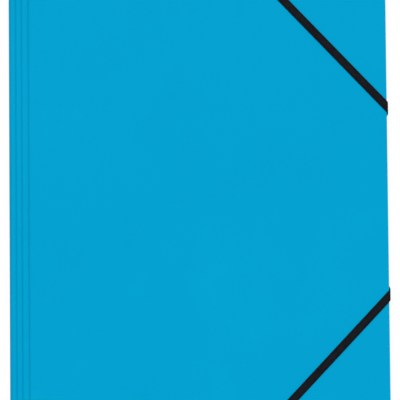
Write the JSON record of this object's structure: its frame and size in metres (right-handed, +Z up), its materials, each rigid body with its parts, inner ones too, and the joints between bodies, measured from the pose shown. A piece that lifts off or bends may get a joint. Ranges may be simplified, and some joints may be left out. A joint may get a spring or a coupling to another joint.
{
  "type": "elastic folder",
  "caption": "Flat card document folder with scored spine, inner flaps and a flat elastic across each free corner of the cover.",
  "frame": {"origin": "on the surface that the closed folder lies on, under the middle of its bounding box", "axes": "+X from the spine fold to the fore edge, +Y to the top edge, +Z up out of the front cover"},
  "size_m": [0.2412, 0.3224, 0.0077],
  "materials": {
    "card": "matte",
    "elastic": "matte",
    "barb_metal": "satin"
  },
  "bodies": {
    "back": {"back_cover": "card", "top_elastic": "elastic", "bottom_elastic": "elastic", "top_edge_barb": "barb_metal", "top_fore_edge_barb": "barb_metal", "bottom_edge_barb": "barb_metal", "bottom_fore_edge_barb": "barb_metal"},
    "front": {"front_cover": "card"}
  },
  "joints": [
    {"name": "front_cover_fold", "type": "hinge", "parent": "back", "child": "front", "pos_m": [-0.12074, 0, 0.00385], "axis": [0, -1, 0], "range_deg": [0, 180], "deforming": ["top_elastic", "bottom_elastic"]}
  ]
}
